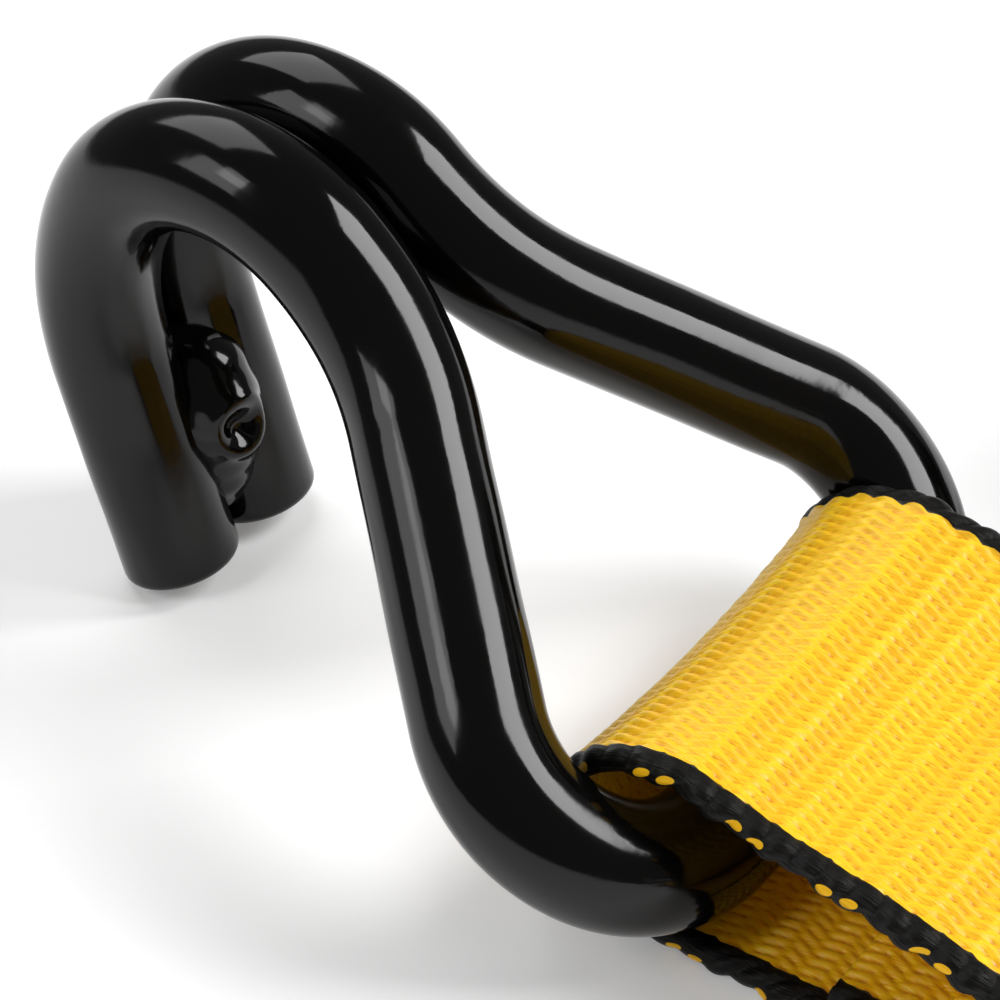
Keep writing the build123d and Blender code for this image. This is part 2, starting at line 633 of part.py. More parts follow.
export_step(hook_2.part, "parts/hook_2.step")
export_step(hook_2_weld.part, "parts/hook_2_weld.step")
export_step(long_strap.part, "parts/long_strap.step")
export_step(long_strap_stitching.part, "parts/long_strap_stitching.step")

pieces = [hook_1, hook_1_weld, short_strap, short_strap_stitching, frame_side_left, frame_side_right,
          frame_base_plate, lock_pawl_bracket, strap_bolt, strap_bolt_nut, strap_bolt_sleeve, lock_pawl,
          lock_pawl_spring, spool_half_upper, spool_half_lower, ratchet_gear_left, ratchet_gear_right,
          spool_washers, cotter_pins, handle_side_left, handle_side_right, drive_pawl_bracket, handle_rod,
          grip_rod, handle_grip, drive_pawl, drive_pawl_spring, hook_2, hook_2_weld, long_strap,
          long_strap_stitching]
low = [min(getattr(p.part.bounding_box().min, k) for p in pieces) for k in "XYZ"]
high = [max(getattr(p.part.bounding_box().max, k) for p in pieces) for k in "XYZ"]
print("box", [round(v, 3) for v in low], [round(v, 3) for v in high])
print("centre", [round((a + b) / 2, 3) for a, b in zip(low, high)])
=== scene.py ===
import bpy
import math
import numpy as np
from mathutils import Matrix, Vector


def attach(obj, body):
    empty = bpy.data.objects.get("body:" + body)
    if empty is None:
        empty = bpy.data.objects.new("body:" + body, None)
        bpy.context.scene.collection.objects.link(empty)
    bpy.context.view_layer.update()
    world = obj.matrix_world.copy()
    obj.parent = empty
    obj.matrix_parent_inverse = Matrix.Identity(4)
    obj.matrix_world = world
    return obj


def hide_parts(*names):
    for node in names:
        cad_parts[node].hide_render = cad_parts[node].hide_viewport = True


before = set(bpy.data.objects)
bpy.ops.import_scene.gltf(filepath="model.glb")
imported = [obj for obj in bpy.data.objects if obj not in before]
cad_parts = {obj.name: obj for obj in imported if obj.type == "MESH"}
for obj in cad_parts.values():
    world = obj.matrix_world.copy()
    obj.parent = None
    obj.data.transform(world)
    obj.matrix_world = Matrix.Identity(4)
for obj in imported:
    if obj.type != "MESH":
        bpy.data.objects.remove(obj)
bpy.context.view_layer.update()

rng = np.random.default_rng(7)
MM = 0.001
OX, OY = -169.525, -44.550
D = 13.4
BAR_Z = 9.4
TILT = math.radians(41.03)
LONG_X, LONG_Y = 112.0, 95.0
WEB, T, LAY = 48.0, 2.5, 2.7
EYE_R, EYE_SLOPE = 14.3, 15.0
TAIL_X, FOLD_X = 18.0, 132.0
BOLT_X, BOLT_Z, BEYE_R = 228.0, 9.8, 8.55
SPX, SPZ = 300.0, 33.0
ROLL_X, ROLL_R, CORE_R = 190.0, 68.0, 12.0
GRIP_X, GRIP_Z, GRIP_R = 118.0, -20.5, 12.0


# ------------------------------------------------------------------ mesh helpers
def make_mesh(name, verts, faces, mats=(), index=None, uv=None, smooth=True, detail=None):
    """verts in local millimetres (before the set's offset)."""
    v = np.asarray(verts, float).copy()
    v[:, 0] += OX
    v[:, 1] += OY
    v *= MM
    me = bpy.data.meshes.new(name)
    me.from_pydata(v.tolist(), [], [tuple(int(i) for i in f) for f in faces])
    for m in mats:
        me.materials.append(m)
    if index is not None:
        me.polygons.foreach_set("material_index", np.asarray(index, np.int32))
    if smooth:
        me.polygons.foreach_set("use_smooth", np.ones(len(me.polygons), bool))
    if uv is not None:
        layer = me.uv_layers.new(name="uv")
        loops = np.zeros(len(me.loops), np.int32)
        me.loops.foreach_get("vertex_index", loops)
        layer.data.foreach_set("uv", np.asarray(uv, float)[loops].astype(np.float32).ravel())
        if detail is not None:
            extra = me.uv_layers.new(name="detail")
            extra.data.foreach_set("uv", np.asarray(detail, float)[loops].astype(np.float32).ravel())
    me.update()
    ob = bpy.data.objects.new(name, me)
    bpy.context.scene.collection.objects.link(ob)
    return ob


def grid_faces(nu, nv, close_v=True):
    """Quads of an nu by nv grid, wrapping round in v."""
    i = np.arange(nu - 1)[:, None]
    j = np.arange(nv if close_v else nv - 1)[None, :]
    jn = (j + 1) % nv
    a = i * nv + j
    b = i * nv + jn
    c = (i + 1) * nv + jn
    d = (i + 1) * nv + j
    return np.stack([a + 0 * j, b + 0 * i, c, d], -1).reshape(-1, 4)


def modified(ob):
    """Applies the modifiers of ob."""
    dg = bpy.context.evaluated_depsgraph_get()
    me = bpy.data.meshes.new_from_object(ob.evaluated_get(dg))
    ob.modifiers.clear()
    ob.data = me
    return ob


# ------------------------------------------------------------------ materials
def new_mat(name):
    m = bpy.data.materials.new(name)
    m.use_nodes = True
    nt = m.node_tree
    return m, nt, nt.nodes["Principled BSDF"]


def bump_noise(nt, bsdf, scale, strength, distance, detail=3.0):
    tc = nt.nodes.new("ShaderNodeTexCoord")
    no = nt.nodes.new("ShaderNodeTexNoise")
    no.inputs["Scale"].default_value = scale
    no.inputs["Detail"].default_value = detail
    bu = nt.nodes.new("ShaderNodeBump")
    bu.inputs["Strength"].default_value = strength
    bu.inputs["Distance"].default_value = distance
    nt.links.new(tc.outputs["Object"], no.inputs["Vector"])
    nt.links.new(no.outputs["Fac"], bu.inputs["Height"])
    nt.links.new(bu.outputs["Normal"], bsdf.inputs["Normal"])
    return no, bu


def ramp(nt, src, stops):
    r = nt.nodes.new("ShaderNodeValToRGB")
    e = r.color_ramp.elements
    e[0].position, e[0].color = stops[0][0], stops[0][1]
    e[1].position, e[1].color = stops[-1][0], stops[-1][1]
    for p, c in stops[1:-1]:
        n = e.new(p)
        n.color = c
    nt.links.new(src, r.inputs["Fac"])
    return r


def gloss_black(name):
    m, nt, b = new_mat(name)
    b.inputs["Base Color"].default_value = (0.0016, 0.0014, 0.0013, 1)
    b.inputs["IOR"].default_value = 1.5
    b.inputs["Specular IOR Level"].default_value = 0.28
    no, bu = bump_noise(nt, b, 420.0, 0.05, 0.0003, 2.0)
    tc = nt.nodes.new("ShaderNodeTexCoord")
    n2 = nt.nodes.new("ShaderNodeTexNoise")
    n2.inputs["Scale"].default_value = 160.0
    n2.inputs["Detail"].default_value = 4.0
    nt.links.new(tc.outputs["Object"], n2.inputs["Vector"])
    r = ramp(nt, n2.outputs["Fac"], [(0.35, (0.075, 0.075, 0.075, 1)), (0.7, (0.14, 0.14, 0.14, 1))])
    nt.links.new(r.outputs["Color"], b.inputs["Roughness"])
    return m


def steel(name, color, rough=0.28, scale=300.0):
    m, nt, b = new_mat(name)
    b.inputs["Metallic"].default_value = 1.0
    no, bu = bump_noise(nt, b, scale, 0.035, 0.0003, 5.0)
    lo = tuple(c * 0.91 for c in color) + (1,)
    hi = tuple(min(1.0, c * 1.05) for c in color) + (1,)
    r = ramp(nt, no.outputs["Fac"], [(0.35, lo), (0.65, hi)])
    nt.links.new(r.outputs["Color"], b.inputs["Base Color"])
    r2 = ramp(nt, no.outputs["Fac"], [(0.3, (rough * 0.8,) * 3 + (1,)), (0.7, (rough * 1.3,) * 3 + (1,))])
    nt.links.new(r2.outputs["Color"], b.inputs["Roughness"])
    return m


def rubber(name):
    m, nt, b = new_mat(name)
    b.inputs["Base Color"].default_value = (0.012, 0.012, 0.013, 1)
    b.inputs["Roughness"].default_value = 0.62
    bump_noise(nt, b, 900.0, 0.25, 0.0003, 3.0)
    return m


def math_node(nt, op, a, b=None, value=None):
    n = nt.nodes.new("ShaderNodeMath")
    n.operation = op
    nt.links.new(a, n.inputs[0])
    if b is not None:
        nt.links.new(b, n.inputs[1])
    elif value is not None:
        n.inputs[1].default_value = value
    return n.outputs[0]


def mix_color(nt, fac, low, high):
    """low and high are a colour or a socket; fac picks high."""
    n = nt.nodes.new("ShaderNodeMix")
    n.data_type = "RGBA"
    nt.links.new(fac, n.inputs["Factor"])
    for key, c in ((6, low), (7, high)):
        if isinstance(c, tuple):
            n.inputs[key].default_value = c + (1,)
        else:
            nt.links.new(c, n.inputs[key])
    return n.outputs[2]


def yarn(name, dark, mid, light, rough, bump=0.6, weave=False, gap_shade_color=None, border=False, dashes=None, gloss=0.45, sheen=0.04):
    """Woven yarn: fine streaks along the yarn, painted shade in the gaps between the floats and in slow bands across
    the webbing, a scalloped black border where the selvedge starts, and pairs of dashes on the edge. UV is (along,
    across) in millimetres; detail is (float height, height on the edge)."""
    m, nt, b = new_mat(name)
    uv = nt.nodes.new("ShaderNodeUVMap")
    uv.uv_map = "uv"
    sep = nt.nodes.new("ShaderNodeSeparateXYZ")
    nt.links.new(uv.outputs["UV"], sep.inputs[0])
    mp = nt.nodes.new("ShaderNodeMapping")
    mp.inputs["Scale"].default_value = (0.55, 7.0, 1.0)
    nt.links.new(uv.outputs["UV"], mp.inputs["Vector"])
    no = nt.nodes.new("ShaderNodeTexNoise")
    no.inputs["Scale"].default_value = 1.0
    no.inputs["Detail"].default_value = 3.0
    nt.links.new(mp.outputs["Vector"], no.inputs["Vector"])
    col = ramp(nt, no.outputs["Fac"], [(0.3, dark + (1,)), (0.5, mid + (1,)), (0.72, light + (1,))]).outputs["Color"]
    b.inputs["Roughness"].default_value = rough
    b.inputs["Specular IOR Level"].default_value = gloss
    b.inputs["Sheen Weight"].default_value = sheen
    b.inputs["Sheen Roughness"].default_value = 0.4
    h = no.outputs["Fac"]
    S, Y = sep.outputs["X"], sep.outputs["Y"]
    if gap_shade_color is not None or dashes is not None:
        dt = nt.nodes.new("ShaderNodeUVMap")
        dt.uv_map = "detail"
        sd = nt.nodes.new("ShaderNodeSeparateXYZ")
        nt.links.new(dt.outputs["UV"], sd.inputs[0])
    if weave:
        row = math_node(nt, "FLOOR", math_node(nt, "MULTIPLY", S, value=1 / ROW_P))
        half = math_node(nt, "MULTIPLY", row, value=0.5)
        cc = math_node(nt, "ADD", math_node(nt, "MULTIPLY", Y, value=1 / COL_P), half)
        sv = math_node(nt, "ABSOLUTE", math_node(nt, "SINE", math_node(nt, "MULTIPLY", cc, value=math.pi)))
        su = math_node(nt, "ABSOLUTE", math_node(nt, "SINE", math_node(nt, "MULTIPLY", S, value=math.pi / ROW_P)))
        fl = math_node(nt, "POWER", math_node(nt, "MULTIPLY", sv, su), value=0.5)
        h = math_node(nt, "ADD", fl, math_node(nt, "MULTIPLY", h, value=0.35))
        gap_shade_mask = fl
    elif gap_shade_color is not None:
        gap_shade_mask = sd.outputs["X"]
    if gap_shade_color is not None:
        # painted shade: slow light and dark bands across the webbing, two rows of floats each, standing in for the ribs
        # turning to and from the light
        slow = nt.nodes.new("ShaderNodeTexNoise")
        slow.inputs["Scale"].default_value = 1.0
        slow.inputs["Detail"].default_value = 2.0
        ms = nt.nodes.new("ShaderNodeMapping")
        ms.inputs["Scale"].default_value = (0.30, 0.012, 1.0)
        nt.links.new(uv.outputs["UV"], ms.inputs["Vector"])
        nt.links.new(ms.outputs["Vector"], slow.inputs["Vector"])
        bands = math_node(nt, "SINE", math_node(nt, "MULTIPLY", S, value=math.pi / ROW_P))
        band_shade_fac = math_node(nt, "ADD", math_node(nt, "MULTIPLY", bands, value=0.10), slow.outputs["Fac"])
        band_shade = ramp(nt, band_shade_fac, [(0.36, (1, 1, 1, 1)), (0.62, (0, 0, 0, 1))]).outputs["Color"]
        band_shade = math_node(nt, "MULTIPLY", band_shade, value=0.42)
        col = mix_color(nt, band_shade, col, dark)
        # painted shade: the gaps between the floats darken towards a deep orange, standing in for the shade in the
        # hollows of the weave
        gap_shade_fac = ramp(nt, gap_shade_mask, [(0.10, (1, 1, 1, 1)), (0.52, (0, 0, 0, 1))]).outputs["Color"]
        col = mix_color(nt, math_node(nt, "MULTIPLY", gap_shade_fac, value=0.85), col, gap_shade_color)
    if border:
        under = math_node(nt, "GREATER_THAN", Y, value=30.0)
        yc = math_node(nt, "ABSOLUTE", math_node(nt, "SUBTRACT", Y, math_node(nt, "MULTIPLY", under, value=60.0)))
        sc = math_node(nt, "ABSOLUTE", math_node(nt, "SINE", math_node(nt, "MULTIPLY", S, value=math.pi / 3.1)))
        lim = math_node(nt, "ADD", math_node(nt, "MULTIPLY", sc, value=0.34), value=WEB / 2 - SELV - 0.34)
        col = mix_color(nt, math_node(nt, "GREATER_THAN", yc, lim), col, (0.005, 0.0045, 0.004))
    if dashes is not None:
        z = sd.outputs["Y"]
        zz = math_node(nt, "SUBTRACT", z, value=-0.15)
        per = math_node(nt, "FLOORED_MODULO", S, value=10.4)
        per = math_node(nt, "SUBTRACT", per, math_node(nt, "MULTIPLY", zz, value=0.9))
        hit = None
        for c0 in (3.0, 5.6):
            dx = math_node(nt, "DIVIDE", math_node(nt, "SUBTRACT", per, value=c0), value=0.82)
            dz = math_node(nt, "DIVIDE", zz, value=0.38)
            q = math_node(nt, "ADD", math_node(nt, "POWER", math_node(nt, "ABSOLUTE", dx), value=2.4),
                          math_node(nt, "POWER", math_node(nt, "ABSOLUTE", dz), value=2.0))
            k = math_node(nt, "LESS_THAN", q, value=1.0)
            hit = k if hit is None else math_node(nt, "MAXIMUM", hit, k)
        col = mix_color(nt, hit, col, dashes)
        h = math_node(nt, "ADD", math_node(nt, "MULTIPLY", hit, value=0.7), h)
    nt.links.new(col, b.inputs["Base Color"])
    bu = nt.nodes.new("ShaderNodeBump")
    bu.inputs["Strength"].default_value = bump
    bu.inputs["Distance"].default_value = 0.00025
    nt.links.new(h, bu.inputs["Height"])
    nt.links.new(bu.outputs["Normal"], b.inputs["Normal"])
    return m


ROW_P, COL_P = 2.60, 1.38
SELV = 2.0
M_HOOK = gloss_black("hook_coat")
M_ZINC = steel("zinc_steel", (0.66, 0.67, 0.69), 0.34)
M_GEAR = steel("gear_steel", (0.55, 0.50, 0.38), 0.30)
M_FAST = steel("fastener_steel", (0.58, 0.59, 0.61), 0.30)
M_SPRING = steel("spring_steel", (0.48, 0.49, 0.52), 0.25)
M_RUBBER = rubber("grip_rubber")
YEL_D, YEL_M, YEL_L = (0.88, 0.42, 0.002), (0.97, 0.59, 0.006), (1.0, 0.72, 0.022)
# colour of the painted shade in the gaps between the floats
YEL_GAP_SHADE = (0.58, 0.18, 0.001)
M_YEL = yarn("webbing_yellow", YEL_D, YEL_M, YEL_L, 0.42, bump=0.6, weave=True, gap_shade_color=YEL_GAP_SHADE, border=True)
M_YEL_FINE = yarn("webbing_yellow_fine", YEL_D, YEL_M, YEL_L, 0.36, bump=0.35, gap_shade_color=YEL_GAP_SHADE, border=True)
M_BLK = yarn("selvedge_black", (0.0015, 0.0013, 0.0012), (0.004, 0.0035, 0.003), (0.011, 0.010, 0.009), 0.40, bump=0.7, dashes=(0.92, 0.50, 0.006), gloss=0.14, sheen=0.0)
M_THR = yarn("seam_thread", (0.006, 0.006, 0.006), (0.012, 0.012, 0.012), (0.03, 0.03, 0.03), 0.5, bump=0.5, gloss=0.2, sheen=0.0)

# ------------------------------------------------------------------ hook wire
VERTEX_Y = 3.372 * D
CORNER_R = 1.1845 * D
BEND_X = 4.2968 * D
ARM_T = 0.776 * D
ARCH_X = 5.113 * D
R1, A1 = 1.3846 * D, math.radians(97.27)
R2, A2 = 2.1953 * D, math.radians(47.42)
TIP_L = 1.98 * D
HALF_GAP = 6.8


def hook_line(step=0.5):
    """Centre line of the hook in its own plane frame, from the near tip to the far tip, as points."""
    slope = (VERTEX_Y - HALF_GAP) / BEND_X
    turn = math.pi / 2 + math.atan(slope)
    bar_half = VERTEX_Y - CORNER_R * math.tan(turn / 2)
    turn2 = math.atan(slope)
    r2 = ARM_T / math.tan(turn2 / 2)
    ax, ex = -(BEND_X + ARM_T), -ARCH_X
    pts = []

    def arc(fn, a, b, r):
        n = max(4, int(abs(b - a) * r / step))
        for k in range(n):
            pts.append(fn(a + (b - a) * k / n))

    def line(p, q):
        p, q = np.array(p, float), np.array(q, float)
        n = max(2, int(np.linalg.norm(q - p) / step))
        for k in range(n):
            pts.append(tuple(p + (q - p) * k / n))

    line((0, 0, 0), (0, bar_half, 0))
    arc(lambda t: (-CORNER_R + CORNER_R * math.cos(t), bar_half + CORNER_R * math.sin(t), 0), 0, turn, CORNER_R)
    ce = (-CORNER_R + CORNER_R * math.cos(turn), bar_half + CORNER_R * math.sin(turn), 0)
    s0 = (ax + r2 * math.sin(turn2), HALF_GAP + r2 - r2 * math.cos(turn2), 0)
    line(ce, s0)
    arc(lambda t: (ax + r2 * math.sin(t), HALF_GAP + r2 - r2 * math.cos(t), 0), turn2, 0, r2)
    line((ax, HALF_GAP, 0), (ex, HALF_GAP, 0))
    arc(lambda t: (ex - R1 * math.sin(t), HALF_GAP, -R1 + R1 * math.cos(t)), 0, A1, R1)
    cx = ex - R1 * math.sin(A1) + R2 * math.sin(A1)
    cz = -R1 + R1 * math.cos(A1) - R2 * math.cos(A1)
    arc(lambda t: (cx - R2 * math.sin(t), HALF_GAP, cz + R2 * math.cos(t)), A1, A1 + A2, R2)
    e = (cx - R2 * math.sin(A1 + A2), HALF_GAP, cz + R2 * math.cos(A1 + A2))
    tip = (e[0] - TIP_L * math.cos(A1 + A2), HALF_GAP, e[2] - TIP_L * math.sin(A1 + A2))
    line(e, tip)
    pts.append(tip)
    far = np.array(pts)
    near = far[::-1].copy()
    near[:, 1] *= -1
    return np.vstack([near[:-1], far])


def hook_place(p, bx, by):
    c, s = math.cos(TILT), math.sin(TILT)
    p = np.asarray(p, float)
    return np.stack([bx + p[..., 0] * c + p[..., 2] * s, by + p[..., 1], BAR_Z - p[..., 0] * s + p[..., 2] * c], -1)


def sweep_round(path, radius, sides, seed, wave=0.022, lip=1.1):
    """A round bar along path with rounded end edges and faint waviness of the coat."""
    P = np.asarray(path, float)
    tan = np.gradient(P, axis=0)
    tan /= np.linalg.norm(tan, axis=1)[:, None]
    nrm = np.zeros_like(P)
    n = np.cross(tan[0], [0.0, 1.0, 0.0])
    n /= np.linalg.norm(n)
    for i in range(len(P)):
        n = n - tan[i] * (n @ tan[i])
        n /= np.linalg.norm(n)
        nrm[i] = n
    bin_ = np.cross(tan, nrm)
    seg = np.linalg.norm(np.diff(P, axis=0), axis=1)
    s = np.concatenate([[0], np.cumsum(seg)])
    total = s[-1]
    a = np.linspace(0, 2 * np.pi, sides, endpoint=False)
    r = np.full((len(P), sides), radius)
    g = np.random.default_rng(seed)
    for k in range(14):
        f1, f2 = g.uniform(0.01, 0.09), g.integers(0, 4)
        r += wave * g.normal() * 0.4 * np.cos(2 * np.pi * f1 * s[:, None] + f2 * a[None, :] + g.uniform(0, 6.28))
    r = np.minimum(r, radius + 0.09)
    rings, ring_r = [], []
    ends = []
    for t in np.linspace(0, 1, 7):
        ang = t * math.pi / 2
        ends.append((lip * (1 - math.sin(ang)), -lip * (1 - math.cos(ang))))
    V = []
    inner = (s > lip * 1.2) & (s < total - lip * 1.2)
    core = np.where(inner)[0]

    def ring(i, along, dr):
        base = P[i] + tan[i] * along
        rr = r[i] + dr
        return base + (np.cos(a)[:, None] * nrm[i] + np.sin(a)[:, None] * bin_[i]) * rr[:, None]

    i0, i1 = 0, len(P) - 1
    for frac in (0.0, 0.35, 0.7, 0.9):
        V.append(P[i0] + (ring(i0, 0, -lip) - P[i0]) * frac if frac > 0 else ring(i0, 0, -radius * 0.995))
    for k in range(7):
        ang = k / 6 * math.pi / 2
        V.append(ring(i0, lip * (1 - math.cos(ang)), -lip * (1 - math.sin(ang))))
    for i in core:
        V.append(ring(i, 0, 0))
    for k in range(6, -1, -1):
        ang = k / 6 * math.pi / 2
        V.append(ring(i1, -lip * (1 - math.cos(ang)), -lip * (1 - math.sin(ang))))
    for frac in (0.9, 0.7, 0.35, 0.0):
        V.append(P[i1] + (ring(i1, 0, -lip) - P[i1]) * frac if frac > 0 else ring(i1, 0, -radius * 0.995))
    nu = len(V)
    verts = np.vstack(V)
    faces = [tuple(f) for f in grid_faces(nu, sides)]
    verts = np.vstack([verts, P[i0], P[i1]])
    c0, c1 = len(verts) - 2, len(verts) - 1
    for j in range(sides):
        faces.append((c0, (j + 1) % sides, j))
        faces.append((c1, (nu - 1) * sides + j, (nu - 1) * sides + (j + 1) % sides))
    return verts, faces


def flip_out(ob):
    import bmesh
    bm = bmesh.new()
    bm.from_mesh(ob.data)
    bmesh.ops.recalc_face_normals(bm, faces=bm.faces)
    bm.to_mesh(ob.data)
    bm.free()
    ob.data.update()


def make_hook(name, bx, by, seed):
    path = hook_place(hook_line(0.55), bx, by)
    v, f = sweep_round(path, D / 2, 56, seed)
    ob = make_mesh(name, v, f, [M_HOOK])
    flip_out(ob)
    return ob


def tip_point(back, inward, side):
    a2 = A1 + A2
    cx = -ARCH_X - R1 * math.sin(A1) + R2 * math.sin(A1)
    cz = -R1 + R1 * math.cos(A1) - R2 * math.cos(A1)
    tx = cx - R2 * math.sin(a2) - (TIP_L - back) * math.cos(a2)
    tz = cz + R2 * math.cos(a2) - (TIP_L - back) * math.sin(a2)
    return np.array([tx + inward * math.sin(a2), side, tz - inward * math.cos(a2)])


def make_weld(name, bx, by, seed):
    """Lumpy bead laid across the two tips: overlapping drops and a crater, joined by a remesh."""
    g = np.random.default_rng(seed)
    drops = [(6.5, 1.6, 0.0, 3.4), (9.0, 2.6, 0.1, 4.2), (12.0, 3.5, 0.2, 5.0), (15.0, 4.2, 0.3, 5.7), (18.0, 4.4, 0.8, 5.7),
             (21.0, 3.9, 1.2, 5.2), (24.0, 1.4, 0.0, 3.4), (15.5, 2.8, 3.8, 3.9), (17.0, 2.8, -3.8, 3.9)]
    V, F, base = [], [], 0
    nu, nv = 18, 28
    for back, inw, sd, rad in drops:
        c = tip_point(back, inw, sd)
        rows = []
        for i in range(1, nu):
            th = math.pi * i / nu
            for j in range(nv):
                ph = 2 * math.pi * j / nv
                rows.append((math.sin(th) * math.cos(ph), math.sin(th) * math.sin(ph), math.cos(th)))
        U = np.array(rows + [(0, 0, 1), (0, 0, -1)])
        k = g.normal(size=(5, 3)) * 2.2
        bumps = sum(np.sin(U @ kk + g.uniform(0, 6)) for kk in k) * 0.012
        pts = c + U * (rad * (1 + bumps))[:, None]
        V.append(hook_place(pts, bx, by))
        for i in range(nu - 2):
            for j in range(nv):
                F.append((base + i * nv + j, base + i * nv + (j + 1) % nv, base + (i + 1) * nv + (j + 1) % nv, base + (i + 1) * nv + j))
        top, bot = base + (nu - 1) * nv, base + (nu - 1) * nv + 1
        for j in range(nv):
            F.append((top, base + (j + 1) % nv, base + j))
            F.append((bot, base + (nu - 2) * nv + j, base + (nu - 2) * nv + (j + 1) % nv))
        base += len(U)
    ob = make_mesh(name, np.vstack(V), F, [M_HOOK])
    flip_out(ob)
    rm = ob.modifiers.new("join", "REMESH")
    rm.mode = "VOXEL"
    rm.voxel_size = 0.00038
    rm.use_smooth_shade = True
    sm = ob.modifiers.new("flow", "SMOOTH")
    sm.factor = 0.5
    sm.iterations = 34
    modified(ob)
    me = ob.data
    co = np.zeros(len(me.vertices) * 3)
    me.vertices.foreach_get("co", co)
    co = co.reshape(-1, 3)
    crater = hook_place(tip_point(15.6, 9.6, -0.6), bx, by)
    crater = (crater + np.array([OX, OY, 0])) * MM
    d = np.linalg.norm(co - crater, axis=1) / MM
    body = (hook_place(tip_point(14.5, 0.0, 0.0), bx, by) + np.array([OX, OY, 0])) * MM
    dirn = co - body
    dirn /= np.linalg.norm(dirn, axis=1)[:, None] + 1e-9
    amt = -1.7 * np.exp(-(d / 2.0) ** 2.6) + 0.45 * np.exp(-((d - 3.2) / 0.85) ** 2)
    co += dirn * (amt * MM)[:, None]
    me.vertices.foreach_set("co", co.ravel())
    me.polygons.foreach_set("use_smooth", np.ones(len(me.polygons), bool))
    me.materials.clear()
    me.materials.append(M_HOOK)
    me.update()
    return ob


# ------------------------------------------------------------------ webbing
def turtle(x, z, head, moves, step):
    """Centre line of a webbing run: points, headings and lengths along it. step(s) gives the spacing wanted at length s."""
    pts, hd, ss = [(x, z)], [math.radians(head)], [0.0]
    h = math.radians(head)
    s = 0.0
    for mv in moves:
        if len(mv) == 1:
            length, done = mv[0], 0.0
            while done < length - 1e-6:
                k = min(step(s), length - done)
                if length - done - k < 0.3 * step(s):
                    k = length - done
                x, z = x + k * math.cos(h), z + k * math.sin(h)
                done += k
                s += k
                pts.append((x, z)); hd.append(h); ss.append(s)
        elif len(mv) == 2:
            r, turn = mv[0], math.radians(mv[1])
            sg = 1 if turn > 0 else -1
            length = r * abs(turn)
            n = max(6, int(math.ceil(length / step(s))))
            for _ in range(n):
                da = turn / n
                ch = 2 * r * math.sin(abs(da) / 2)
                x, z = x + ch * math.cos(h + da / 2), z + ch * math.sin(h + da / 2)
                h += da
                s += length / n
                pts.append((x, z)); hd.append(h); ss.append(s)
    return np.array(pts), np.array(hd), np.array(ss)


def eye_moves():
    zt = T / 2 + 2 * LAY
    a = math.radians(EYE_SLOPE)
    bend = 30.0
    top_x, top_z = EYE_R * math.sin(a), BAR_Z + EYE_R * math.cos(a)
    run = (top_z - zt - bend * (1 - math.cos(a))) / math.sin(a)
    flat_x = top_x + run * math.cos(a) + bend * math.sin(a)
    low_r = BAR_Z - T / 2
    pre = (FOLD_X - TAIL_X) + LAY / 2 * math.pi + (FOLD_X - flat_x) + bend * a + run
    return [(FOLD_X - TAIL_X,), (LAY / 2, 180), (FOLD_X - flat_x,), (bend, -EYE_SLOPE), (run,),
            (EYE_R, 90 + EYE_SLOPE), (low_r, 90)], pre


EYE_END = -(EYE_R - (BAR_Z - T / 2))


def cross_section(fine):
    """Points round the webbing's cross-section: position across, height as a share of half thickness, face kind."""
    hw = WEB / 2
    if fine:
        n_mid, n_sel, n_edge = (176), 12, 18
    else:
        n_mid, n_sel, n_edge = 22, 4, 6
    top = np.concatenate([np.linspace(-hw + 1.2, -hw + SELV + 0.3, n_sel, endpoint=False),
                          np.linspace(-hw + SELV + 0.3, hw - SELV - 0.3, n_mid, endpoint=False),
                          np.linspace(hw - SELV - 0.3, hw - 1.2, n_sel + 1)])
    y, z = list(top), [1.0] * len(top)
    ang = list(np.full(len(top), 90.0))
    for k in range(1, n_edge):
        t = math.pi / 2 - math.pi * k / n_edge
        y.append(hw - 1.2 + 1.2 * math.cos(t)); z.append(math.sin(t)); ang.append(math.degrees(t))
    y += list(top[::-1]); z += [-1.0] * len(top); ang += list(np.full(len(top), -90.0))
    for k in range(1, n_edge):
        t = -math.pi / 2 - math.pi * k / n_edge
        y.append(-hw + 1.2 + 1.2 * math.cos(t)); z.append(math.sin(t)); ang.append(math.degrees(t))
    return np.array(y), np.array(z), np.radians(np.array(ang))


def floats(u, v, face):
    """Height of the woven surface: yarn floats in offset rows, slightly slanted."""
    row = np.floor(u / ROW_P)
    b = u / ROW_P - row - 0.5
    out = np.zeros_like(u + v)
    for dr in (-1, 0, 1):
        rr = row + dr
        bb = b - dr
        jit = 0.10 * np.sin(rr * 12.9898 + face * 2.0)
        lean = np.where(np.mod(rr, 2) > 0.5, 0.78, -0.50)
        col = v / COL_P + 0.5 * np.mod(rr, 2) + jit + lean * bb
        a = col - np.floor(col) - 0.5
        e = 1 - (np.abs(a) / 0.50) ** 1.6 - (np.abs(bb) / 1.0) ** 1.9
        g = np.mod(np.abs(np.sin(rr * 12.9898 + np.floor(col) * 78.233)) * 43758.5453, 1.0)
        hgt = np.clip(e, 0, None) ** 0.62 * (0.86 + 0.14 * g)
        out = np.maximum(out, hgt)
    return out


